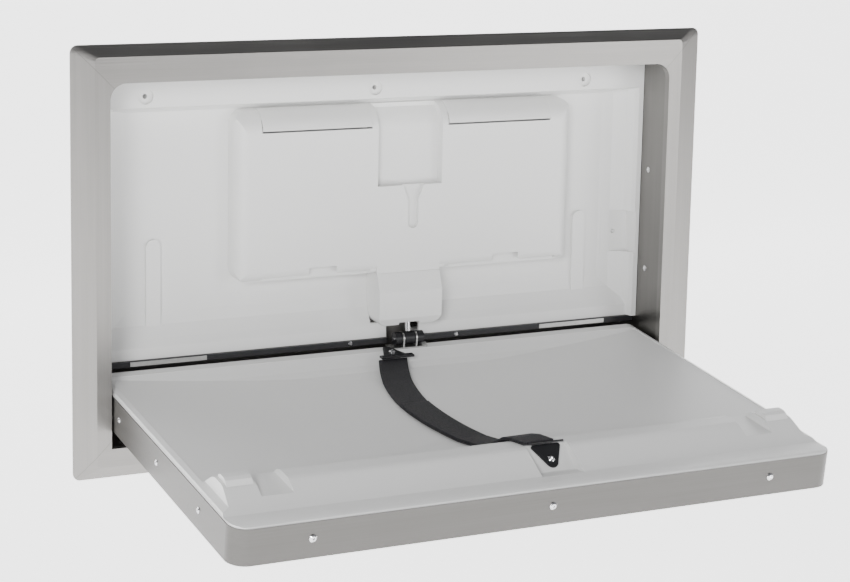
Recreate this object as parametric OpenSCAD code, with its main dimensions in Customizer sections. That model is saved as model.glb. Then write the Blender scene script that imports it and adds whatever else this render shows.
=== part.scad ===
// Recessed fold-down baby changing table, shown with its bed down.
// X runs along the width, Y runs into the wall from the wall face at y = 0, Z is up.
// The zero point is the middle of the trim frame, on the wall face.

/* [Trim frame] */
// overall width of the trim frame
trim_w = 946; // [800:1:1150]
// overall height of the trim frame
trim_h = 572; // [520:1:700]
// how far the trim stands out from the wall
trim_proud = 11; // [8:0.5:16]
// width of the sloping band at the left and right
band_side = 31; // [20:1:40]
// width of the sloping band at the top and bottom
band_top = 16; // [10:1:24]
// radius of the outer corners
trim_corner = 10; // [4:0.5:20]
// distance from the outer side edge to the opening
rim_side = 51; // [45:1:60]
// distance from the outer top edge to the opening
rim_top = 50; // [40:1:60]
// distance from the outer bottom edge to the opening
rim_bottom = 40; // [38:1:50]
// radius of the opening's upper corners
open_corner = 22; // [10:1:30]
// thickness of the trim's sheet steel
trim_t = 1.5; // [1:0.1:2]
// thickness of the soft edge seal behind the trim
seal_t = 2; // [1:0.5:4]

/* [Recess] */
// depth of the recess behind the wall face
recess_d = 100; // [96:1:130]
// thickness of the recess sheet steel
sheet_t = 1.2; // [0.8:0.1:2]
// gap between the opening's edge and the side walls
wall_step = 2; // [1.8:0.1:4]
// depth of the side-wall screws from the wall face
side_screw_y = 38; // [25:1:50]
// height of the side-wall screws above and below the middle
side_screw_z = 74; // [50:1:120]

/* [Back unit] */
// depth of the back unit's rim
rim_y = 58; // [54:1:64]
// depth of the back unit's flat panel
panel_y = 88; // [84:1:90]
// wall thickness of the moulded plastic
shell_t = 4; // [3:0.5:5]
// half the distance between the two upper fixing holes
fix_half = 336; // [250:1:380]
// sideways place of the fixing row
fix_shift = -14; // [-30:1:30]
// height of the upper fixing row
fix_z = 209; // [200:1:220]
// radius of the fixing holes
fix_r = 3.3; // [2.5:0.1:5]
// half the distance between the two side fixing holes
pocket_half = 395; // [380:1:402]
// height of the side fixing holes
pocket_z = -24; // [-60:1:40]
// lower edge of the back unit
lip_z = -150; // [-155:1:-145]

/* [Liner dispenser] */
// sideways place of the dispenser and the gas cylinder
unit_x = 40; // [0:1:60]
// width of the dispenser housing
house_w = 522; // [400:1:600]
// top of the dispenser housing
house_top = 184; // [170:1:186]
// bottom of the dispenser housing
house_low = -54; // [-70:1:-30]
// depth of the housing's front face
house_y = 54; // [53.5:0.5:60]
// width of each liner door
door_w = 164; // [120:1:190]
// distance of each door's middle from the dispenser's middle
door_off = 142; // [120:1:150]
// wall thickness of the housing
house_t = 3.5; // [2.5:0.5:4]
// length of each bottom liner slot
slot_w = 174; // [120:1:190]
// distance of each slot's middle from the dispenser's middle
slot_off = 144; // [120:1:150]
// width of the recess between the two doors
bay_w = 100; // [70:1:110]
// bottom of that recess
bay_z = 70; // [60:1:90]
// depth of that recess
bay_d = 15; // [8:1:20]
// rounding of the housing's upright edges
house_round = 18; // [8:1:20]

/* [Bed] */
// depth of the skirt around the bed
skirt_h = 46; // [40:0.5:52]
// height of the pivot above the pan's underside
pivot_h = 17; // [14:0.5:20]
// height of the pivot line
pivot_z = -204; // [-206:0.5:-202]
// gap between the closed bed and the top of the opening
top_gap = 4; // [3:0.5:8]
// how far the pan reaches behind the pivot
pan_rear = 36; // [30:0.5:36]
// how far the plastic top reaches behind the pivot
top_rear = 66; // [60:0.5:66]
// how far the open bed hangs below level
bed_droop = 7; // [0:0.5:10]
// radius of the bed's front corners
bed_corner = 24; // [15:1:40]
// height of the front ridge above the pivot
ridge_h = 50; // [44:0.5:50]
// height of the bag hooks above the pivot
hook_h = 56; // [50:0.5:60]
// height of the lying surface above the pivot
dish_h = 20; // [17:0.5:24]
// radius of the pivot pins
pin_r = 5; // [3.5:0.1:6]

/* [Strap] */
// width of the webbing
strap_w = 44; // [38:1:50]
// thickness of the webbing
strap_t = 2; // [1.2:0.1:2.5]

/* [Hidden] */
$fn = 64;
run_gap = 0.05;
fit_gap = 0.3;
side_gap = 2;
open_w = trim_w - 2 * rim_side;
open_top = trim_h / 2 - rim_top;
open_low = -trim_h / 2 + rim_bottom;
open_h = open_top - open_low;
open_mid = (open_top + open_low) / 2;
wall_x = open_w / 2 + wall_step;
box_low = -trim_h / 2 + 4;
bed_w = open_w - 2 * side_gap;
bed_front = open_top - pivot_z - top_gap;
bed_x = bed_w / 2;
skirt_top = skirt_h - pivot_h;
top_x = bed_x - sheet_t - fit_gap;
top_front = bed_front - sheet_t - fit_gap;
ridge_s = bed_front - 86;
rear_h = 36;
house_l = unit_x - house_w / 2;
house_r = unit_x + house_w / 2;
arc_r = panel_y - house_y;
arc_z = house_top - arc_r;
door_r = arc_r + 2;
door_t = 2.4;
door_py = panel_y - (arc_r - 2.6) * cos(20);
door_pz = arc_z + (arc_r - 2.6) * sin(20);
door_pin_r = 1.2;
cover_w = 98;
cover_low = -129;
cover_y = 44;
cyl_r = 8;
cyl_y = 80.5;
cyl_top = 44;
rod_r = 4;
slot_y = house_y + house_t;
slot_d = 5.5;
key_y = house_y + 7;
clevis_s = -58;
clevis_h = rear_h + 12;
// the gas cylinder leans so that it points at the open bed's clevis
clevis_y = -clevis_s * cos(bed_droop) - clevis_h * sin(bed_droop);
clevis_z = pivot_z - clevis_s * sin(bed_droop) + clevis_h * cos(bed_droop);
cyl_lean = atan((cyl_y - clevis_y) / (cyl_top - clevis_z));
rod_low = (cyl_top - clevis_z) / cos(cyl_lean) - 9.7;
niche_x = 34;
anchor_x = 4;
niche_w = 60;
screw_head = 5;
screw_r = 2.5;
front_screw_x = 0.762 * bed_x;
side_screw_s = [bed_front * 0.08, bed_front * 0.41, bed_front * 0.748];
screw_h = 8;

// ---------- helpers ----------

// flat outline standing in the XZ plane, from depth y0 to depth y1
module stand(y0, y1) translate([0, y1, 0]) rotate([90, 0, 0]) linear_extrude(y1 - y0) children();

// side outline drawn as (depth, height), from x0 to x1
module along(x0, x1) translate([x0, 0, 0]) rotate([90, 0, 90]) linear_extrude(x1 - x0) children();

// the bed's own frame: its zero point is on the pivot line
module bed_frame() translate([0, 0, pivot_z]) rotate([bed_droop, 0, 0]) children();

// bed outline drawn as (distance out from the pivot, height), from x0 to x1
module out_along(x0, x1) along(x0, x1) mirror([1, 0]) children();

module round_rect(w, h, r) {
    square([w - 2 * r, h], center = true);
    square([w, h - 2 * r], center = true);
    for (i = [-1, 1], j = [-1, 1]) translate([i * (w / 2 - r), j * (h / 2 - r)]) circle(r);
}

// opening outline with rounded upper corners
module open_2d(g) {
    w = open_w / 2 + g;
    r = open_corner + g;
    translate([-w, open_low - g]) square([2 * w, open_h + 2 * g - r]);
    translate([-w + r, open_low - g]) square([2 * w - 2 * r, open_h + 2 * g]);
    for (i = [-1, 1]) translate([i * (w - r), open_top + g - r]) circle(r);
}

// bed plan outline with rounded front corners, drawn as (x, distance back)
module bed_plan(x, front, rear, r) {
    translate([-x, -front + r]) square([2 * x, front + rear - r]);
    translate([-x + r, -front]) square([2 * x - 2 * r, front + rear]);
    for (i = [-1, 1]) translate([i * (x - r), -front + r]) circle(r);
}

module tube_hole(x, y, z, r, len) translate([x, y, z]) rotate([-90, 0, 0]) cylinder(r = r, h = len);

// round-headed screw along +Z with its head above z = 0
module button_screw(head, shank, len) difference() {
    union() {
        cylinder(r = head, h = 1);
        translate([0, 0, 1]) cylinder(r1 = head, r2 = head * 0.62, h = 1.5);
        translate([0, 0, -len]) cylinder(r = shank, h = len);
    }
    translate([0, 0, 1]) cylinder(r = head * 0.34, h = 3, $fn = 6);
}

// ---------- trim and recess ----------

module trim_frame() color("silver") {
    difference() {
        hull() {
            stand(-seal_t - 1.5, -seal_t) round_rect(trim_w, trim_h, trim_corner);
            stand(-trim_proud, -trim_proud + 0.4)
                round_rect(trim_w - 2 * band_side, trim_h - 2 * band_top, 6);
        }
        hull() {
            stand(-seal_t - 0.1, -seal_t + 1) round_rect(trim_w - 28, trim_h - 28, 8);
            stand(-trim_proud + trim_t, -trim_proud + trim_t + 0.4)
                round_rect(trim_w - 2 * band_side - 2, trim_h - 2 * band_top - 3, 5);
        }
        stand(-trim_proud - 5, 5) open_2d(0.01);
    }
    difference() {
        stand(-trim_proud, -fit_gap) difference() {
            open_2d(trim_t);
            open_2d(0);
        }
        for (s = [-1, 1]) translate([s * (open_w / 2 - 1), 0, pivot_z]) rotate([0, s * 90, 0])
            cylinder(r = pin_r + run_gap, h = trim_t + 2);
    }
}

module edge_seal() color([0.08, 0.08, 0.08]) stand(-seal_t, 0) difference() {
    round_rect(trim_w - 1, trim_h - 1, trim_corner);
    round_rect(trim_w - 26, trim_h - 26, 8);
}

module side_wall(s) difference() {
    translate([s > 0 ? 0 : -2 * wall_x - sheet_t, 0, 0]) along(wall_x, wall_x + sheet_t)
        polygon([[-trim_proud + trim_t + 0.1, open_top + 3.2], [-trim_proud + trim_t + 0.1, open_low - 2],
                 [fit_gap, open_low - 2], [fit_gap, box_low], [recess_d, box_low],
                 [recess_d, open_top + 3.2]]);
    for (k = [-1, 1]) translate([s * (wall_x - 1), side_screw_y, k * side_screw_z])
        rotate([0, s * 90, 0]) cylinder(r = screw_r + run_gap, h = 10);
    translate([s * (wall_x - 1), 0, pivot_z]) rotate([0, s * 90, 0])
        cylinder(r = pin_r + run_gap, h = 10);
}

module recess_left() color("silver") side_wall(-1);
module recess_right() color("silver") side_wall(1);

module recess_top() color("silver")
    translate([-wall_x, -trim_proud + trim_t + 0.1, open_top + 2])
        cube([2 * wall_x, recess_d + trim_proud - trim_t - 0.1, sheet_t]);

module recess_bottom() color("silver")
    translate([-wall_x, fit_gap, box_low]) cube([2 * wall_x, recess_d - fit_gap, sheet_t]);

module recess_back() color("silver") difference() {
    translate([-wall_x - sheet_t, recess_d, box_low])
        cube([2 * wall_x + 2 * sheet_t, sheet_t, open_top + 3.2 - box_low]);
    for (x = [-fix_half, 0, fix_half]) tube_hole(x + fix_shift, recess_d - 5, fix_z, fix_r, 20);
    for (x = [-1, 1]) tube_hole(x * pocket_half, recess_d - 5, pocket_z, fix_r, 20);
}

module side_wall_screws() color("gainsboro") for (s = [-1, 1], k = [-1, 1])
    translate([s * wall_x, side_screw_y, k * side_screw_z]) rotate([0, -s * 90, 0])
        scale([0.85, 0.85, 0.6]) button_screw(screw_head, screw_r / 0.85, 12);

// ---------- back unit ----------

module back_side_2d(g) offset(delta = -g) polygon([
    [rim_y, open_top + 1], [rim_y, fix_z - 15], [rim_y + 3, fix_z - 16.2], [panel_y - 5, fix_z - 19.5],
    [panel_y, fix_z - 24.6], [panel_y, -91], [panel_y - 3, -107], [rim_y + 18, -124],
    [rim_y + 12, -134], [rim_y + 11, lip_z], [recess_d + 20, lip_z], [recess_d + 20, open_top + 1]]);

module cove_2d(g) polygon([
    [panel_y, wall_x - 54], [panel_y - 3, wall_x - 36], [panel_y - 12, wall_x - 17],
    [panel_y - 22, wall_x - 10], [rim_y, wall_x - 8], [rim_y, wall_x - 0.5],
    [rim_y + 34, wall_x - 0.5], [panel_y + g, wall_x - 0.5], [panel_y + g, wall_x - 54]]);

module back_unit() color("white") difference() {
    union() {
        difference() {
            along(-wall_x + 0.5, wall_x - 0.5) back_side_2d(0);
            along(-wall_x + 0.5 + shell_t, wall_x - 0.5 - shell_t) back_side_2d(shell_t);
            translate([-wall_x, recess_d - 2, -trim_h]) cube([2 * wall_x, 200, 2 * trim_h]);
        }
        for (i = [0, 1]) mirror([i, 0, 0]) translate([0, 0, lip_z])
            linear_extrude(open_top + 1 - lip_z) mirror([1, -1]) cove_2d(shell_t);
        for (x = [-fix_half, 0, fix_half]) tube_hole(x + fix_shift, rim_y, fix_z, 14.5, recess_d - 2 - rim_y);
        for (x = [-1, 1]) tube_hole(x * pocket_half, panel_y - 2, pocket_z, 14, recess_d - panel_y);
        // upright ribs
        for (x = [-331, 335]) {
            translate([x - 10.5, panel_y - 5, -108]) cube([21, 6, 108]);
            tube_hole(x, panel_y - 5, 0, 10.5, 6);
        }
        // ledges of the side pockets
        for (x = [-1, 1]) translate([x * (wall_x - 26) - 24.5, panel_y - 1, pocket_z - 36])
            cube([49, 5, 72]);
    }
    // counterbored fixing holes
    for (x = [-fix_half, 0, fix_half]) {
        tube_hole(x + fix_shift, rim_y - 1, fix_z, 10.5, 5);
        tube_hole(x + fix_shift, rim_y - 1, fix_z, fix_r, recess_d);
    }
    // side pockets cut into the coved sides
    for (x = [-1, 1]) {
        translate([x * (wall_x - 29) - 23, panel_y - 60, pocket_z - 30]) cube([46, 57, 62]);
        tube_hole(x * pocket_half, panel_y - 20, pocket_z, fix_r, recess_d);
    }
    // window and passage for the gas cylinder
    translate([unit_x - 26, rim_y - 20, -124]) cube([52, 80, 186]);
    translate([unit_x - 26, rim_y - 20, lip_z - 10]) cube([52, 80, 40]);
    // seat of the cylinder cover
    translate([unit_x - cover_w / 2 - fit_gap, cover_y - 10, cover_low - fit_gap])
        cube([cover_w + 2 * fit_gap, panel_y - cover_y + 10, house_low - cover_low + fit_gap]);
}

// ---------- liner dispenser ----------

module house_2d(g) offset(delta = -g) union() {
    translate([house_y, house_low + 16]) square([panel_y - house_y + 20, arc_z - house_low - 16]);
    translate([house_y + 10, house_low]) square([panel_y - house_y + 10, 30]);
    translate([house_y + 16, house_low + 16]) circle(16);
    intersection() {
        translate([panel_y, arc_z]) circle(arc_r);
        translate([house_y, arc_z - 1]) square([arc_r, arc_r + 2]);
    }
    translate([panel_y - 1, arc_z - 1]) square([21, arc_r + 1]);
}

// plan outline that rounds the housing's upright edges
module house_plan(g) translate([unit_x, 0, house_low - 10]) linear_extrude(house_top - house_low + 20)
    translate([0, house_y + g + 60]) round_rect(house_w - 2 * g, 120, house_round - g);

module dispenser_housing() color("white") difference() {
    union() {
        intersection() {
            along(house_l, house_r) house_2d(0);
            translate([unit_x, 0, (house_top + house_low) / 2])
                stand(0, panel_y - fit_gap) round_rect(house_w, house_top - house_low, 20);
            house_plan(0);
        }
        // neck above the cylinder cover
        translate([unit_x - cover_w / 2, house_y, house_low]) cube([cover_w, 24, 20]);
        for (x = [-1, 1]) translate([unit_x + x * (cover_w / 2 + 5) - 5, house_y + 3, house_low + 3])
            cube([10, 18, 14]);
    }
    // the two liner compartments, with a low wall behind each bottom slot
    for (x = [[house_l + house_t, unit_x - bay_w / 2 - house_t],
              [unit_x + bay_w / 2 + house_t, house_r - house_t]]) difference() {
        intersection() {
            along(x[0], x[1]) house_2d(house_t);
            translate([(x[0] + x[1]) / 2, 0, (house_top + house_low) / 2])
                stand(0, recess_d) round_rect(x[1] - x[0], house_top - house_low - 2 * house_t, 16);
            house_plan(house_t);
        }
        translate([x[0] - 1, slot_y + slot_d, house_low - 1]) cube([x[1] - x[0] + 2, 3, 19]);
    }
    // bay between the doors, curved like the doors but set back
    along(unit_x - bay_w / 2, unit_x + bay_w / 2) difference() {
        translate([0, bay_z]) square([panel_y - 4, 200]);
        translate([bay_d, 0]) house_2d(0);
    }
    // key slot with its funnel
    stand(house_y - 20, key_y) {
        translate([unit_x + 6, 16]) circle(8);
        translate([unit_x - 2, 16]) square([16, bay_z - 15]);
        polygon([[unit_x - 2, 50], [unit_x - 11, bay_z + 1], [unit_x + 23, bay_z + 1], [unit_x + 14, 50]]);
    }
    // room for the gas cylinder
    translate([unit_x - 20, key_y + 3, house_low - 10]) cube([40, 60, bay_z - house_low + 4]);
    translate([unit_x - 20, house_y + 3, house_low - 10]) cube([40, 60, 10 - house_low]);
    // liner slots and finger notches
    for (x = [-1, 1]) {
        translate([unit_x + 9 + x * slot_off - slot_w / 2, slot_y, house_low - 5])
            cube([slot_w, slot_d, 21]);
        translate([unit_x + 12 + x * slot_off - 21, house_y - 5, house_low - 5])
            cube([42, slot_y + slot_d - house_y + 5, 21]);
    }
    // loading openings and hinge clearance under the doors
    for (x = [-1, 1]) translate([unit_x + x * door_off, 0, 0]) {
        translate([-door_w / 2 + 6, house_y - 5, door_pz + 4]) cube([door_w - 12, 34, 60]);
        translate([-door_w / 2 - 0.6, door_py, door_pz]) rotate([0, 90, 0]) cylinder(r = 9.2, h = door_w + 1.2);
        translate([-door_w / 2 - 5, door_py, door_pz]) rotate([0, 90, 0])
            cylinder(r = door_pin_r + run_gap, h = door_w + 10);
    }
}

module liner_door(x) translate([unit_x + x * door_off, 0, 0]) difference() {
    union() {
        difference() {
            translate([-door_w / 2, panel_y, arc_z]) rotate([0, 90, 0]) cylinder(r = door_r, h = door_w, $fn = 128);
            translate([-door_w, panel_y, arc_z]) rotate([0, 90, 0])
                cylinder(r = door_r - door_t + 0.7, h = 2 * door_w, $fn = 128);
            translate([-door_w, 0, door_pz - 5.5 - 100]) cube([2 * door_w, 200, 100]);
            translate([-door_w, panel_y - 10, arc_z - 50]) cube([2 * door_w, 100, 100]);
        }
        translate([-door_w / 2 + 3, door_py, door_pz]) rotate([0, 90, 0]) cylinder(r = 2.6, h = door_w - 6);
        translate([-door_w / 2 + 3, door_py - 3.6, door_pz - 1]) cube([door_w - 6, 3.4, 2]);
    }
    translate([-door_w, door_py, door_pz]) rotate([0, 90, 0])
        cylinder(r = door_pin_r + run_gap, h = 2 * door_w);
}

module left_liner_door() color("white") liner_door(-1);
module right_liner_door() color("white") liner_door(1);

module door_pin(x) translate([unit_x + x * door_off - door_w / 2 - 4.5, door_py, door_pz])
    rotate([0, 90, 0]) cylinder(r = door_pin_r, h = door_w + 9);
module left_door_pin() color("gray") door_pin(-1);
module right_door_pin() color("gray") door_pin(1);

// ---------- gas cylinder ----------

// front outline of the cover, drawn from its lower edge up
module cover_2d(g) {
    h = house_low - cover_low - fit_gap;
    translate([0, h / 2]) round_rect(cover_w - 2 * g, h - 2 * g, 14 - g);
    translate([-cover_w / 2 + g, h / 2]) square([cover_w - 2 * g, h / 2 + (g > 0 ? 1 : 0)]);
}

// side outline of the cover: flush with the housing above, further out below
module cover_side_2d(g) polygon([[house_y + g, house_low + 2], [house_y + g, house_low],
    [cover_y + g, house_low - 26], [cover_y + g, cover_low + 10 + g], [cover_y + 6 + g, cover_low - 1 + g],
    [panel_y - fit_gap + 2 * g, cover_low - 1 + g], [panel_y - fit_gap + 2 * g, house_low + 2]]);

module cylinder_cover() color("white") difference() {
    intersection() {
        translate([unit_x, 0, cover_low]) stand(cover_y - 2, panel_y - fit_gap) cover_2d(0);
        along(unit_x - cover_w, unit_x + cover_w) cover_side_2d(0);
    }
    intersection() {
        translate([unit_x, 0, cover_low]) stand(cover_y - 2, panel_y + 1) cover_2d(house_t);
        along(unit_x - cover_w, unit_x + cover_w) cover_side_2d(house_t);
    }
    translate([unit_x - 16, cover_y + house_t, cover_low - 5]) cube([32, 60, 30]);
}

module gas_cylinder() color([0.1, 0.1, 0.1]) translate([unit_x, cyl_y, cyl_top]) rotate([-cyl_lean, 0, 0]) {
    difference() {
        union() {
            translate([0, 0, -150]) cylinder(r = cyl_r, h = 140);
            translate([0, 0, -11]) cylinder(r = 5, h = 8);
            translate([-4, 0, 0]) rotate([0, 90, 0]) cylinder(r = 7, h = 8);
        }
        translate([0, 0, -151]) cylinder(r = rod_r + run_gap, h = 120);
        translate([-5, 0, 0]) rotate([0, 90, 0]) cylinder(r = 3 + run_gap, h = 10);
    }
}

module cylinder_rod() color("silver") translate([unit_x, cyl_y, cyl_top]) rotate([-cyl_lean, 0, 0])
    translate([0, 0, -rod_low]) cylinder(r = rod_r, h = rod_low - 72);

module cylinder_bracket() color("silver") {
    difference() {
        translate([unit_x - 14, cyl_y - 8, cyl_top - 12]) cube([28, recess_d - cyl_y + 8, 24]);
        translate([unit_x - 11, cyl_y - 10, cyl_top - 14]) cube([22, recess_d - cyl_y + 8, 28]);
    }
    translate([unit_x - 12, cyl_y, cyl_top]) rotate([0, 90, 0]) cylinder(r = 3, h = 24);
}

// ---------- strip between the back unit and the bed ----------

module rest_strip() color([0.1, 0.1, 0.1]) difference() {
    translate([-wall_x + 2, rim_y + 6, lip_z - 8]) cube([2 * wall_x - 4, 3, 8 - fit_gap]);
    translate([unit_x - 26, rim_y, lip_z - 20]) cube([52, 40, 40]);
    for (x = [-84, 84]) tube_hole(unit_x + x, rim_y, lip_z - 4, 2 + run_gap, 20);
}

module strip_ends() color("silver") for (x = [-1, 1])
    translate([x * 0.745 * wall_x - 55, rim_y + 4.6, lip_z - 7]) cube([110, 1.2, 6]);

module strip_rivets() color("gainsboro") for (x = [-84, 84])
    translate([unit_x + x, rim_y + 6, lip_z - 4]) rotate([90, 0, 0]) {
        cylinder(r1 = 3.4, r2 = 2, h = 1.5);
        translate([0, 0, -5]) cylinder(r = 2, h = 5);
    }

module pivot_pins() color("gray") for (s = [-1, 1])
    translate([s * (bed_x - 9), 0, pivot_z]) rotate([0, s * 90, 0]) {
        cylinder(r = pin_r, h = 16);
        translate([0, 0, wall_x + sheet_t + 0.1 - bed_x + 9]) cylinder(r = pin_r + 3, h = 3);
    }

// ---------- bed ----------

module bed_pan() color("silver") bed_frame() difference() {
    translate([0, 0, -pivot_h]) linear_extrude(skirt_h) bed_plan(bed_x, bed_front, pan_rear, bed_corner);
    translate([0, 0, -pivot_h + sheet_t]) linear_extrude(skirt_h)
        bed_plan(bed_x - sheet_t, bed_front - sheet_t, pan_rear + 5, bed_corner - sheet_t);
    for (s = [-1, 1]) {
        rotate([0, s * 90, 0]) cylinder(r = pin_r + run_gap, h = bed_w);
        for (k = side_screw_s) translate([0, -k, screw_h]) rotate([0, s * 90, 0])
            cylinder(r = screw_r + run_gap, h = bed_w);
    }
    for (x = [-1, 0, 1]) tube_hole(x * front_screw_x, -bed_front - 1, screw_h, screw_r + run_gap, 10);
}

// upper outline of the bed seen from the side
module top_side_2d() polygon([
    [top_front, -pivot_h + sheet_t + fit_gap], [top_front, skirt_top - 1], [top_front - 2, skirt_top + 1.5],
    [top_front - 6, skirt_top + 2.5], [top_front - 16, skirt_top + 2.5], [ridge_s + 53, skirt_top + 0.8],
    [ridge_s + 48, skirt_top + 1], [ridge_s + 43, skirt_top + 3.5], [ridge_s + 33, ridge_h - 13],
    [ridge_s + 10, ridge_h - 2.5], [ridge_s + 6, ridge_h - 1], [ridge_s + 1, ridge_h], [ridge_s - 18, ridge_h],
    [ridge_s - 24, ridge_h - 1], [ridge_s - 30, ridge_h - 4], [ridge_s - 43, rear_h],
    [-top_rear + 6, rear_h], [-top_rear + 1.5, rear_h - 2], [-top_rear, rear_h - 8], [-top_rear, 5],
    [-pan_rear + 2, 5], [-pan_rear + 2, -pivot_h + sheet_t + fit_gap]]);

// upper outline of the bed seen from the front
module top_front_2d() polygon([
    [-top_x, -pivot_h], [-top_x, skirt_top], [-top_x + 2.5, skirt_top + 4], [-top_x + 12, skirt_top + 7],
    [-top_x + 20, ridge_h + 20], [top_x - 20, ridge_h + 20], [top_x - 12, skirt_top + 7],
    [top_x - 2.5, skirt_top + 4], [top_x, skirt_top], [top_x, -pivot_h]]);

// space above the lying surface, from the side
module dish_side_2d() polygon([
    [-48, ridge_h + 9], [-44, rear_h - 0.5], [-34, rear_h - 5], [-22, dish_h + 6], [-8, dish_h + 2],
    [16, dish_h], [ridge_s - 109, dish_h], [ridge_s - 73, dish_h + 2.5], [ridge_s - 57, dish_h + 7],
    [ridge_s - 43, dish_h + 15], [ridge_s - 35, dish_h + 22], [ridge_s - 26, ridge_h - 0.5],
    [ridge_s - 21, ridge_h + 9]]);

// space above the lying surface, from the front: highest at the sides
module dish_front_2d() polygon(concat(
    [for (i = [-14:14]) [i / 14 * (top_x - 9), dish_h + (skirt_top + 5 - dish_h) * pow(abs(i) / 14, 2)]],
    [[top_x - 9, ridge_h + 30], [-top_x + 9, ridge_h + 30]]));

module bed_top() color("white") bed_frame() difference() {
    union() {
        intersection() {
            out_along(-top_x, top_x) top_side_2d();
            translate([0, top_rear + 5, 0]) rotate([90, 0, 0]) linear_extrude(bed_front + top_rear + 10)
                top_front_2d();
            translate([0, 0, -pivot_h]) linear_extrude(100)
                bed_plan(top_x, top_front, top_rear, bed_corner - sheet_t - fit_gap);
        }
        // bag hooks at both ends of the ridge
        for (x = [-1, 1]) translate([x * 0.909 * bed_x, 0, 0])
            out_along(-17, 17) polygon([[ridge_s - 25, ridge_h - 6], [ridge_s - 19, hook_h - 2],
                [ridge_s - 15, hook_h], [ridge_s - 4, hook_h], [ridge_s + 2, hook_h - 2],
                [ridge_s + 12, ridge_h - 6]]);
    }
    intersection() {
        out_along(-top_x + 9, top_x - 9) dish_side_2d();
        translate([0, top_rear + 5, 0]) rotate([90, 0, 0]) linear_extrude(bed_front + top_rear + 10)
            dish_front_2d();
    }
    // bag strap notches
    for (x = [-1, 1]) translate([x * 0.811 * bed_x - 21, -ridge_s - 60, ridge_h - 10]) cube([42, 130, 40]);
    // niche for the front anchor
    translate([niche_x, 0, 0]) out_along(-niche_w / 2, niche_w / 2)
        polygon([[ridge_s - 9, ridge_h + 9], [ridge_s - 9, ridge_h - 1.5], [ridge_s - 5, ridge_h - 1.5],
                 [ridge_s + 29, ridge_h - 24], [ridge_s + 33, ridge_h - 24], [ridge_s + 50, skirt_top + 1],
                 [ridge_s + 50, ridge_h + 9]]);
    // hollow underside
    translate([-bed_x + 8, -bed_front + 8, -pivot_h - 1]) cube([bed_w - 16, bed_front + 24, pivot_h + dish_h - 7]);
    for (x = [[-316, niche_x - niche_w / 2 - 5], [niche_x + niche_w / 2 + 5, 316]])
        translate([x[0], -ridge_s - 4, 0]) cube([x[1] - x[0], 24, ridge_h - 6]);
    translate([-bed_x + 40, 36, 9]) cube([bed_w - 80, 24, rear_h - 14]);
    // holes
    for (s = [-1, 1]) {
        rotate([0, s * 90, 0]) cylinder(r = pin_r + run_gap, h = bed_w);
        for (k = side_screw_s) translate([0, -k, screw_h]) rotate([0, s * 90, 0])
            cylinder(r = screw_r + run_gap, h = bed_w);
    }
    for (x = [-1, 0, 1]) tube_hole(x * front_screw_x, -bed_front - 1, screw_h, screw_r + run_gap, 20);
    translate([anchor_x, 34, 0]) cylinder(r = 2.1, h = 60);
    niche_frame() translate([0, -24, -20]) cylinder(r = 2.1, h = 30);
}

module front_screws() color("gainsboro") bed_frame() for (x = [-1, 0, 1])
    translate([x * front_screw_x, -bed_front, screw_h]) rotate([90, 0, 0]) button_screw(screw_head, screw_r, 7);

module side_screws(s) bed_frame() for (k = side_screw_s)
    translate([s * bed_x, -k, screw_h]) rotate([0, s * 90, 0])
        scale([0.8, 0.8, 0.7]) button_screw(screw_head, screw_r / 0.8, 9);
module left_screws() color("gainsboro") side_screws(-1);
module right_screws() color("gainsboro") side_screws(1);

// ---------- clevis ----------

module bed_bracket() color("silver") bed_frame() difference() {
    translate([0, 0, rear_h + 0.05]) linear_extrude(2)
        polygon([[unit_x - 32, 64], [unit_x + 32, 64], [unit_x + 26, 46], [unit_x - 26, 46]]);
    for (x = [-1, 1]) translate([unit_x + x * 24, 56, 0]) cylinder(r = 2, h = 60);
}

module clevis_fork() color("silver") bed_frame() for (x = [-1, 1]) difference() {
    translate([unit_x + x * 10 - 1.25, -clevis_s, clevis_h]) rotate([0, 90, 0]) {
        cylinder(r = 9.5, h = 2.5);
        translate([0, -9.5, 0]) cube([clevis_h - rear_h - 2.1, 19, 2.5]);
    }
    translate([unit_x + x * 10 - 5, -clevis_s, clevis_h]) rotate([0, 90, 0])
        cylinder(r = 3 + run_gap, h = 10);
}

module clevis_pin() color("gainsboro") bed_frame()
    translate([unit_x - 24, -clevis_s, clevis_h]) rotate([0, 90, 0]) cylinder(r = 3, h = 48);

module clevis_cap() color([0.1, 0.1, 0.1]) bed_frame() difference() {
    for (x = [[-22, 10], [-8, 16], [12, 10]]) translate([unit_x + x[0], -clevis_s, clevis_h])
        rotate([0, 90, 0]) cylinder(r = 9, h = x[1]);
    translate([unit_x - 30, -clevis_s, clevis_h]) rotate([0, 90, 0]) cylinder(r = 3 + run_gap, h = 60);
}

// ---------- strap and its anchors ----------

// strap run seen from the side, as a band of the given lift and thickness
module strap_side_2d(lift, t, s0, s1) {
    p = [for (q = [[-30, rear_h + 1], [-16, rear_h - 3], [10, dish_h + 7], [40, dish_h + 3],
                   [120, dish_h + 1.4], [ridge_s - 99, dish_h + 1.6], [ridge_s - 69, dish_h + 5],
                   [ridge_s - 49, dish_h + 13], [ridge_s - 33, ridge_h - 2.4], [ridge_s - 21, ridge_h + 0.8],
                   [ridge_s - 3, ridge_h + 0.8]]) if (q[0] >= s0 && q[0] <= s1) [q[0], q[1] + lift]];
    polygon(concat(p, [for (i = [len(p) - 1:-1:0]) [p[i][0], p[i][1] + t]]));
}

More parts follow.
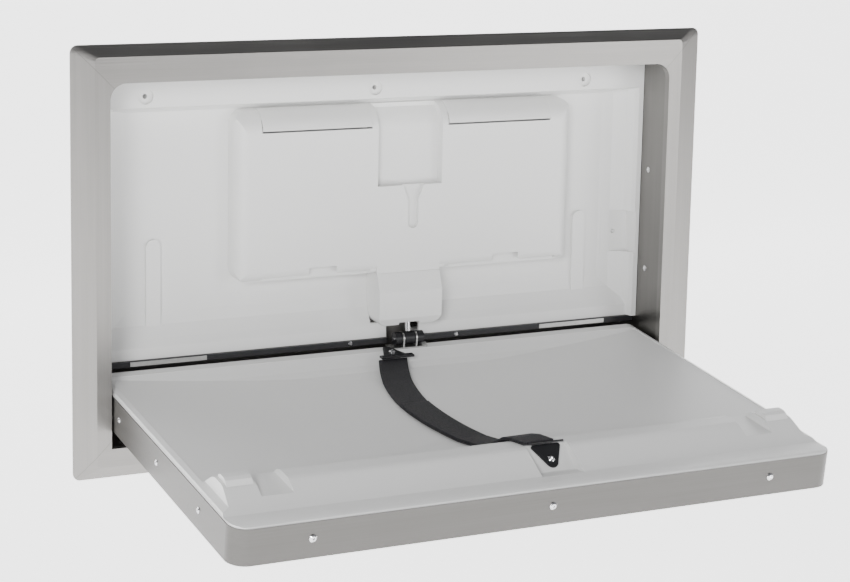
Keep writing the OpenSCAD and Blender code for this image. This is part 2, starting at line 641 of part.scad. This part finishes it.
// strap run seen from above: it bows to the left between its anchors
function strap_x(s) = let (t = (s + 30) / (ridge_s + 40))
    anchor_x - 42 * sin(180 * pow(t, 0.9)) + (niche_x - 2 - anchor_x) * pow(t, 3);
module strap_plan_2d(w, s0, s1) polygon(concat(
    [for (i = [0:16]) let (s = s0 + (s1 - s0) * i / 16) [strap_x(s) - w / 2, -s]],
    [for (i = [16:-1:0]) let (s = s0 + (s1 - s0) * i / 16) [strap_x(s) + w / 2, -s]]));

module strap_run(lift, w, s0, s1) bed_frame() intersection() {
    out_along(-120, 160) strap_side_2d(lift, strap_t, s0, s1);
    linear_extrude(120) strap_plan_2d(w, s0, s1);
}

module strap_lower() color([0.1, 0.1, 0.12]) strap_run(0, strap_w, -16, ridge_s - 3);
module strap_upper() color([0.1, 0.1, 0.12]) strap_run(strap_t + 0.2, strap_w - 2, 120, ridge_s - 3);

module rear_anchor() color([0.1, 0.1, 0.1]) bed_frame() difference() {
    translate([anchor_x, 0, rear_h + 0.05]) linear_extrude(2) hull() {
        translate([-12, 26]) circle(4);
        translate([12, 26]) circle(4);
        translate([0, 50]) circle(6);
    }
    translate([anchor_x, 34, 0]) cylinder(r = 2.1, h = 60);
}

module rear_anchor_screw() color("gainsboro") bed_frame()
    translate([anchor_x, 34, rear_h + 2.1]) button_screw(4.5, 2, 10);

module wire_loop(w, d, r) difference() {
    translate([-w / 2, -d / 2, 0]) cube([w, d, 2 * r]);
    translate([-w / 2 + 2 * r, -d / 2 + 2 * r, -1]) cube([w - 4 * r, d - 4 * r, 2 * r + 2]);
}
module rear_loop() color([0.1, 0.1, 0.1]) bed_frame()
    translate([anchor_x, 17, rear_h + 0.6]) wire_loop(strap_w + 6, 9, 1.4);

// the niche's sloping floor: its zero point is at the top of the slope
niche_a = atan(22.5 / 34);
module niche_frame() translate([niche_x, -ridge_s + 5, ridge_h - 1.5]) rotate([niche_a, 0, 0]) children();

module front_anchor() color([0.1, 0.1, 0.1]) bed_frame() niche_frame() translate([0, 0, 0.2])
    difference() {
        linear_extrude(2) hull() {
            translate([-17, -4.5]) circle(3.5);
            translate([17, -4.5]) circle(3.5);
            translate([0, -28]) circle(8);
        }
        translate([0, -24, -5]) cylinder(r = 2.1, h = 20);
    }

module front_anchor_screw() color("gainsboro") bed_frame() niche_frame()
    translate([0, -24, 2.25]) button_screw(4.7, 1.8, 9);

module front_loop() color([0.1, 0.1, 0.1]) bed_frame()
    translate([niche_x - strap_w / 2 - 3, -ridge_s + 1, ridge_h + strap_t + 0.8]) rotate([90, 0, 90])
        cylinder(r = 1.4, h = strap_w + 6);

trim_frame();
edge_seal();
recess_left();
recess_right();
recess_top();
recess_bottom();
recess_back();
side_wall_screws();
back_unit();
dispenser_housing();
left_liner_door();
right_liner_door();
left_door_pin();
right_door_pin();
cylinder_cover();
gas_cylinder();
cylinder_rod();
cylinder_bracket();
rest_strip();
strip_ends();
strip_rivets();
pivot_pins();
bed_pan();
bed_top();
front_screws();
left_screws();
right_screws();
bed_bracket();
clevis_fork();
clevis_pin();
clevis_cap();
rear_anchor();
rear_anchor_screw();
rear_loop();
front_anchor();
front_anchor_screw();
front_loop();
strap_lower();
strap_upper();
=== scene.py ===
import math

import bmesh
import bpy
from mathutils import Matrix, Vector


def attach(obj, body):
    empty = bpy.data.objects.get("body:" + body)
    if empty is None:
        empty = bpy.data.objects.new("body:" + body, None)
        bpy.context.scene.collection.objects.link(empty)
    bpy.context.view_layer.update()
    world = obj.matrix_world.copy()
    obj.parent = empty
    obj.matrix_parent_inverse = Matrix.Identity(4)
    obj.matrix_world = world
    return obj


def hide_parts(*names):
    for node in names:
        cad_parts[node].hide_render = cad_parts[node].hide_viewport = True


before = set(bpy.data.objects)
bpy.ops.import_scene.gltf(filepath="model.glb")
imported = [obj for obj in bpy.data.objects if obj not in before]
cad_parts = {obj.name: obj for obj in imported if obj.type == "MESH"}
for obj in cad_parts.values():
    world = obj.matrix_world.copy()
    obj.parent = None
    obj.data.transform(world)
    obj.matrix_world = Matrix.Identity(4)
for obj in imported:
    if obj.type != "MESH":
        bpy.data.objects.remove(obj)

bl_info = {
    "name": "Fold-down changing table",
    "version": (1, 0, 0),
    "blender": (4, 5, 0),
    "location": "View3D > Sidebar > Changing table",
    "description": "Finishes, webbing strap and stage for a recessed fold-down changing table",
    "category": "Object",
}

PIVOT = Vector((0.0, 0.0, -0.204))
DROOP = math.radians(7.0)


def on_bed(x, s, h):
    """A point in the bed's own frame, x across, s out from the pivot and h up, as a point in the row frame."""
    c, n = math.cos(DROOP), math.sin(DROOP)
    return PIVOT + Vector((x, -s * c - h * n, -s * n + h * c))


# ---------- shader helpers ----------


class Wire:
    """A shader socket that can be used in sums: each operator adds the Math node that works it out."""

    def __init__(self, shop, socket):
        self.shop, self.socket = shop, socket

    def _math(self, op, *others):
        values = {i: v for i, v in enumerate((self,) + others)}
        return self.shop.node("ShaderNodeMath", {"operation": op}, values)

    def __add__(self, other):
        return self._math("ADD", other)

    def __radd__(self, other):
        return self._math("ADD", other)

    def __sub__(self, other):
        return self._math("SUBTRACT", other)

    def __mul__(self, other):
        return self._math("MULTIPLY", other)

    def __rmul__(self, other):
        return self._math("MULTIPLY", other)

    def __truediv__(self, other):
        return self._math("DIVIDE", other)

    def absolute(self):
        return self._math("ABSOLUTE")

    def sine(self):
        return self._math("SINE")

    def over(self, other):
        return self._math("GREATER_THAN", other)

    def power(self, other):
        return self._math("POWER", other)

    def ramp(self, low, high, to_low=0.0, to_high=1.0):
        return self.shop.node(
            "ShaderNodeMapRange",
            {"clamp": True},
            {"Value": self, "From Min": low, "From Max": high, "To Min": to_low, "To Max": to_high},
        )

    def mix(self, a, b):
        """Colour a where this is 0 and colour b where it is 1."""
        return self.shop.node(
            "ShaderNodeMix", {"data_type": "RGBA", "clamp_factor": True}, {0: self, 6: a, 7: b}, out=2
        )


class Shop:
    """One procedural material: node() adds any shader node, and the rest are short names for common ones."""

    def __init__(self, name):
        self.material = bpy.data.materials.new(name)
        self.material.use_nodes = True
        self.tree = self.material.node_tree
        self.surface = self.tree.nodes["Principled BSDF"]

    def node(self, kind, settings=None, inputs=None, out=0):
        made = self.tree.nodes.new(kind)
        for key, value in (settings or {}).items():
            setattr(made, key, value)
        for key, value in (inputs or {}).items():
            self.feed(made.inputs[key], value)
        return Wire(self, made.outputs[out])

    def feed(self, socket, value):
        if isinstance(value, Wire):
            self.tree.links.new(value.socket, socket)
        else:
            socket.default_value = value

    def set(self, **inputs):
        for key, value in inputs.items():
            self.feed(self.surface.inputs[key.replace("_", " ")], value)

    def place(self):
        """Object coordinates as three wires, and as one vector."""
        whole = self.node("ShaderNodeTexCoord", out=3)
        split = self.tree.nodes.new("ShaderNodeSeparateXYZ")
        self.feed(split.inputs[0], whole)
        return [Wire(self, o) for o in split.outputs], whole

    def vector(self, x, y, z):
        return self.node("ShaderNodeCombineXYZ", None, {0: x, 1: y, 2: z})

    def noise(self, where, scale, detail=3.0, rough=0.55):
        return self.node(
            "ShaderNodeTexNoise", None, {"Vector": where, "Scale": scale, "Detail": detail, "Roughness": rough}
        )

    def bump(self, height, strength, distance):
        self.set(Normal=self.node("ShaderNodeBump", None, {"Strength": strength, "Distance": distance, "Height": height}))


def dress(material, *nodes):
    """Gives CAD nodes this material."""
    for name in nodes:
        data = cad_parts[name].data
        data.materials.clear()
        data.materials.append(material)


# ---------- sizes and colours ----------


class SteelSizes(bpy.types.PropertyGroup):
    tint: bpy.props.FloatVectorProperty(
        name="Steel colour", description="Base colour of the brushed steel", default=(0.50, 0.485, 0.465),
        subtype="COLOR", min=0.0, max=1.0)
    polish: bpy.props.FloatProperty(
        name="Roughness", description="Roughness of the brushed steel", default=0.33, min=0.1, max=0.8,
        subtype="FACTOR")
    grain: bpy.props.FloatProperty(
        name="Grain", description="Depth of the brushed grain", default=0.0004, min=0.0, max=0.002,
        unit="LENGTH")


class PlasticSizes(bpy.types.PropertyGroup):
    tint: bpy.props.FloatVectorProperty(
        name="Plastic colour", description="Base colour of the moulded plastic", default=(0.80, 0.80, 0.79),
        subtype="COLOR", min=0.0, max=1.0)
    polish: bpy.props.FloatProperty(
        name="Roughness", description="Roughness of the moulded plastic", default=0.42, min=0.1, max=0.9,
        subtype="FACTOR")


class StrapSizes(bpy.types.PropertyGroup):
    width: bpy.props.FloatProperty(
        name="Webbing width", description="Width of the strap", default=0.044, min=0.03, max=0.06, unit="LENGTH")
    thickness: bpy.props.FloatProperty(
        name="Webbing thickness", description="Thickness of the strap", default=0.0018, min=0.001, max=0.003,
        unit="LENGTH")
    tint: bpy.props.FloatVectorProperty(
        name="Webbing colour", description="Colour of the yarn", default=(0.010, 0.0095, 0.012),
        subtype="COLOR", min=0.0, max=1.0)


class StageSizes(bpy.types.PropertyGroup):
    floor_drop: bpy.props.FloatProperty(
        name="Floor depth", description="How far the floor lies below the table", default=0.62, min=0.4, max=2.0,
        unit="LENGTH")
    light: bpy.props.FloatProperty(
        name="Light", description="Strength of the soft lights", default=1.0, min=0.1, max=5.0)


# ---------- operators ----------

STEEL = ["trim_frame", "recess_left", "recess_right", "recess_top", "recess_bottom", "recess_back", "bed_pan"]
# share of the steel tint for each part: the recess share is the steel's own tone, while the trim's lighter share
# and the bed pan's darker share are painted light and painted shade
TINT_AND_LIGHT_SHARE = {"trim_frame": 0.54, "bed_pan": 0.27}


class TABLE_OT_steel(bpy.types.Operator):
    """Brushed stainless steel for the trim, the recess and the bed's pan"""

    bl_idname = "table.steel"
    bl_label = "Brushed steel"

    def execute(self, context):
        s = context.scene.table_steel
        for name in STEEL:
            shop = Shop(name + "_steel")
            (x, y, z), _ = shop.place()
            if name == "trim_frame":
                side = ((x.absolute() - 0.473) - (z.absolute() - 0.286)).over(0.0)
                run = side * (z - x) + x
                across = side * (x - z) + z
            elif name == "bed_pan":
                side = x.absolute().over(0.4195)
                run = side * (y - x) + x
                across = z
            else:
                run, across = z, y
            fine = shop.noise(shop.vector(run * 6.0, across * 900.0, y * 300.0), 1.0, 2.0)
            broad = shop.noise(shop.vector(run * 2.0, across * 70.0, y * 4.0), 1.0, 3.0)
            cloud = shop.noise(shop.vector(x, y, z), 5.0, 3.0)
            tone = (fine - 0.5) * 0.35 + (broad - 0.5) * 0.45 + (cloud - 0.5) * 0.4 + 0.5
            if name == "trim_frame":
                gap = ((x.absolute() - 0.473) - (z.absolute() - 0.286)).absolute()
                tone = tone - (gap.over(0.0006) * -1.0 + 1.0) * 0.8
            # painted light and shade: each part's copy of the steel is made lighter or darker by its share of
            # the tint
            tint_and_light_share = TINT_AND_LIGHT_SHARE.get(name, 0.46)
            dark = tuple(c * 0.72 * tint_and_light_share for c in s.tint) + (1.0,)
            lit = tuple(c * 1.16 * tint_and_light_share for c in s.tint) + (1.0,)
            shop.set(
                Base_Color=tone.mix(dark, lit),
                Metallic=1.0,
                Roughness=(cloud - 0.5) * 0.12 + (fine - 0.5) * 0.14 + s.polish,
                Anisotropic=0.3,
            )
            shop.bump(fine, 0.25, s.grain)
            dress(shop.material, name)
        return {"FINISHED"}


PLASTIC = ["back_unit", "dispenser_housing", "cylinder_cover", "left_liner_door", "right_liner_door", "bed_top"]


class TABLE_OT_plastic(bpy.types.Operator):
    """Moulded white plastic for the back unit, dispenser, doors and bed"""

    bl_idname = "table.plastic"
    bl_label = "Moulded plastic"

    def execute(self, context):
        s = context.scene.table_plastic
        for name in PLASTIC:
            shop = Shop(name + "_plastic")
            (x, y, z), where = shop.place()
            grain = shop.noise(where, 900.0, 2.0)
            cloud = shop.noise(where, 3.0, 3.0)
            shade = 0.97 if "door" in name else 1.0
            lit = tuple(c * shade for c in s.tint) + (1.0,)
            dull = tuple(c * shade * 0.96 for c in s.tint) + (1.0,)
            rough = s.polish + (0.05 if name == "bed_top" else 0.0)
            shop.set(Base_Color=cloud.ramp(0.3, 0.7).mix(dull, lit), Roughness=(cloud - 0.5) * 0.1 + rough)
            shop.bump(grain, 0.12, 0.0003)
            dress(shop.material, name)
        return {"FINISHED"}


BLACK = ["gas_cylinder", "rest_strip", "clevis_cap", "rear_anchor", "front_anchor", "rear_loop", "front_loop"]
BRIGHT = ["side_wall_screws", "strip_rivets", "front_screws", "left_screws", "right_screws", "rear_anchor_screw",
          "front_anchor_screw", "cylinder_rod", "clevis_pin"]
PLAIN = ["left_door_pin", "right_door_pin", "pivot_pins", "cylinder_bracket", "strip_ends", "bed_bracket",
         "clevis_fork"]


class TABLE_OT_fittings(bpy.types.Operator):
    """Black, bright and plain metal fittings, and the rubber seal"""

    bl_idname = "table.fittings"
    bl_label = "Metal fittings"

    def execute(self, context):
        kinds = [
            ("black", BLACK, (0.016, 0.016, 0.018), 0.2, 0.36, 160.0),
            ("bright", BRIGHT, (0.74, 0.74, 0.75), 1.0, 0.16, 300.0),
            ("plain", PLAIN, (0.50, 0.50, 0.49), 1.0, 0.34, 240.0),
            ("rubber", ["edge_seal"], (0.02, 0.02, 0.02), 0.0, 0.7, 400.0),
        ]
        for word, nodes, tint, metal, rough, scale in kinds:
            for name in nodes:
                shop = Shop(name + "_" + word)
                _, where = shop.place()
                speck = shop.noise(where, scale, 3.0)
                lit = tuple(c * 1.15 for c in tint) + (1.0,)
                dull = tuple(c * 0.85 for c in tint) + (1.0,)
                shop.set(Base_Color=speck.mix(dull, lit), Metallic=metal, Roughness=(speck - 0.5) * 0.2 + rough)
                shop.bump(speck, 0.1, 0.0002)
                dress(shop.material, name)
        return {"FINISHED"}


# the strap's underside, as distance out from the pivot and height above it
RUN = [(-0.016, 0.0332), (0.010, 0.0271), (0.040, 0.0231), (0.120, 0.0215), (0.251, 0.0217), (0.281, 0.0251),
       (0.301, 0.0331), (0.317, 0.0477), (0.329, 0.0509), (0.347, 0.0509)]
RIDGE = 0.350
REAR_X, FRONT_X = 0.004, 0.032


def lift_at(s):
    """Height of the strap's underside at distance s, straight between the points of RUN."""
    for (a, ha), (b, hb) in zip(RUN, RUN[1:]):
        if s <= b:
            return ha + (hb - ha) * (s - a) / (b - a)
    return RUN[-1][1]


def bow(s):
    """Sideways place of the strap's middle at distance s: it bows to the left between its anchors."""
    t = min(1.0, max(0.0, (s + 0.03) / (RIDGE + 0.04)))
    return REAR_X - 0.042 * math.sin(math.pi * t**0.9) + (FRONT_X - REAR_X) * t**3


def band(name, width, thickness, start, end, lift, rows=120, columns=12):
    """A strip of webbing laid along the bed, with a flat u, v map in metres."""
    work = bmesh.new()
    uv = work.loops.layers.uv.new("weave")
    bmesh.ops.create_grid(work, x_segments=columns, y_segments=rows, size=0.5)
    flat = {}
    for v in work.verts:
        u, t = v.co.x + 0.5, v.co.y + 0.5
        s = start + (end - start) * t
        flat[v] = ((u - 0.5) * width, s)
        sag = 0.0006 * math.sin(9.0 * t) * (u - 0.5)
        v.co = on_bed(bow(s) + (u - 0.5) * width, s, lift_at(s) + lift + sag)
    for face in work.faces:
        for loop in face.loops:
            loop[uv].uv = flat[loop.vert]
    bmesh.ops.recalc_face_normals(work, faces=work.faces)
    if sum((f.normal.z * f.calc_area() for f in work.faces)) < 0:
        bmesh.ops.reverse_faces(work, faces=work.faces)
    bmesh.ops.solidify(work, geom=work.faces[:], thickness=-thickness)
    bmesh.ops.recalc_face_normals(work, faces=work.faces)
    data = bpy.data.meshes.new(name)
    work.to_mesh(data)
    work.free()
    made = bpy.data.objects.new(name, data)
    bpy.context.collection.objects.link(made)
    for p in data.polygons:
        p.use_smooth = True
    return made


class TABLE_OT_strap(bpy.types.Operator):
    """The webbing strap: a lower layer from the rear anchor, and a second layer folded back over it"""

    bl_idname = "table.strap"
    bl_label = "Webbing strap"

    def execute(self, context):
        s = context.scene.table_strap
        shop = Shop("strap_webbing")
        uv = shop.node("ShaderNodeUVMap", {"uv_map": "weave"})
        split = shop.tree.nodes.new("ShaderNodeSeparateXYZ")
        shop.feed(split.inputs[0], uv)
        u, v = Wire(shop, split.outputs[0]), Wire(shop, split.outputs[1])
        rib = (u * 2800.0).sine() * (v * 3600.0 + (u * 1400.0).sine() * 1.6).sine()
        fuzz = shop.noise(shop.vector(u * 600.0, v * 200.0, 0.0), 1.0, 3.0)
        light = tuple(c * 2.0 for c in s.tint) + (1.0,)
        dark = tuple(c * 0.6 for c in s.tint) + (1.0,)
        # painted shade along the strap's edges: the webbing's tone falls to half within 2 mm of each edge
        edge = (u.absolute() - s.width / 2.0).absolute().ramp(0.0, 0.002, 0.5, 1.0)
        tone = (rib * 0.28 + fuzz * 0.5 + 0.25) * edge
        shop.set(Base_Color=tone.mix(dark, light), Roughness=fuzz.ramp(0.2, 0.8, 0.55, 0.8))
        shop.bump(rib + fuzz * 0.4, 0.55, 0.0005)
        pieces = [
            ("strap_lower_webbing", "strap_lower", s.width, -0.016, 0.347, 0.0001),
            ("strap_upper_webbing", "strap_upper", s.width - 0.002, 0.120, 0.347, 0.0024),
        ]
        for name, node, width, start, end, lift in pieces:
            made = band(name, width, s.thickness, start, end, lift)
            made.data.materials.append(shop.material)
            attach(made, "bed")
            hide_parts(node)
            steps = [start + (end - start) * i / 200 for i in range(201)]
            line = [on_bed(bow(q), q, lift_at(q)) for q in steps]
        return {"FINISHED"}


class TABLE_OT_stage(bpy.types.Operator):
    """Plain pale floor, soft lights and the camera"""

    bl_idname = "table.stage"
    bl_label = "Stage"

    def execute(self, context):
        s = context.scene.table_stage
        scene = context.scene
        work = bmesh.new()
        sweep = [(-9.0, 0.0)] + [(2.5 + 1.5 * math.sin(a), 1.5 - 1.5 * math.cos(a))
                                 for a in (math.radians(7.5 * i) for i in range(13))] + [(4.0, 7.0)]
        rails = [[work.verts.new((x, y, z - s.floor_drop)) for y, z in sweep] for x in (-9.0, 9.0)]
        for i in range(len(sweep) - 1):
            work.faces.new((rails[0][i], rails[1][i], rails[1][i + 1], rails[0][i + 1]))
        data = bpy.data.meshes.new("floor")
        work.to_mesh(data)
        work.free()
        data.polygons.foreach_set("use_smooth", [True] * len(data.polygons))
        floor = bpy.data.objects.new("floor", data)
        scene.collection.objects.link(floor)
        pale = Shop("floor_pale")
        pale.set(
            Base_Color=(0.9, 0.9, 0.9, 1.0), Roughness=0.9, Specular_IOR_Level=0.0,
            Emission_Color=(1.0, 1.0, 1.0, 1.0), Emission_Strength=2.4)
        data.materials.append(pale.material)

        world = bpy.data.worlds.new("soft")
        scene.world = world
        world.use_nodes = True
        world.node_tree.nodes["Background"].inputs[0].default_value = (0.95, 0.96, 1.0, 1.0)
        world.node_tree.nodes["Background"].inputs[1].default_value = 0.24 * s.light

        lamps = [
            ("key", (-2.6, -3.4, 1.2), 1.3, 135.0),
            ("fill", (2.6, -3.6, 0.5), 1.6, 40.0),
        ]
        for name, spot, size, power in lamps:
            lamp = bpy.data.lights.new(name, "AREA")
            lamp.shape = "DISK"
            lamp.size = size
            lamp.energy = power * s.light
            made = bpy.data.objects.new(name, lamp)
            made.location = spot
            made.rotation_euler = (Vector((0.0, -0.2, -0.1)) - Vector(spot)).to_track_quat("-Z", "Y").to_euler()
            scene.collection.objects.link(made)

        lens = bpy.data.cameras.new("camera")
        lens.sensor_width = 36.0
        lens.sensor_fit = "HORIZONTAL"
        lens.lens = 90.90
        lens.shift_x = 0.076
        lens.shift_y = -0.107
        eye = bpy.data.objects.new("camera", lens)
        turn = (
            Matrix.Rotation(-0.4395, 4, "Z")
            @ Matrix.Rotation(math.pi / 2 - 0.1687, 4, "X")
            @ Matrix.Rotation(0.0153, 4, "Z")
        )
        eye.matrix_world = Matrix.Translation((-1.2895, -2.6105, 0.5544)) @ turn
        scene.collection.objects.link(eye)
        scene.camera = eye
        return {"FINISHED"}


class TABLE_PT_panel(bpy.types.Panel):
    """Lists the sizes and the steps in order"""

    bl_label = "Changing table"
    bl_idname = "TABLE_PT_panel"
    bl_space_type = "VIEW_3D"
    bl_region_type = "UI"
    bl_category = "Changing table"

    def draw(self, context):
        for group, fields, step in PARTS:
            box = self.layout.box()
            for field in fields:
                box.prop(getattr(context.scene, group), field)
            for one in step:
                box.operator(one)


PARTS = [
    ("table_steel", ["tint", "polish", "grain"], ["table.steel"]),
    ("table_plastic", ["tint", "polish"], ["table.plastic"]),
    ("table_strap", ["width", "thickness", "tint"], ["table.strap", "table.fittings"]),
    ("table_stage", ["floor_drop", "light"], ["table.stage"]),
]
GROUPS = {
    "table_steel": SteelSizes,
    "table_plastic": PlasticSizes,
    "table_strap": StrapSizes,
    "table_stage": StageSizes,
}
CLASSES = [
    SteelSizes, PlasticSizes, StrapSizes, StageSizes,
    TABLE_OT_steel, TABLE_OT_plastic, TABLE_OT_fittings, TABLE_OT_strap, TABLE_OT_stage, TABLE_PT_panel,
]


def register():
    for kind in CLASSES:
        bpy.utils.register_class(kind)
    for name, group in GROUPS.items():
        setattr(bpy.types.Scene, name, bpy.props.PointerProperty(type=group))


def unregister():
    for name in GROUPS:
        delattr(bpy.types.Scene, name)
    for kind in reversed(CLASSES):
        bpy.utils.unregister_class(kind)


def main():
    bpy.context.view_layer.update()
    register()
    bpy.ops.table.steel()
    bpy.ops.table.plastic()
    bpy.ops.table.fittings()
    bpy.ops.table.strap()
    bpy.ops.table.stage()


if __name__ == "__main__":
    main()
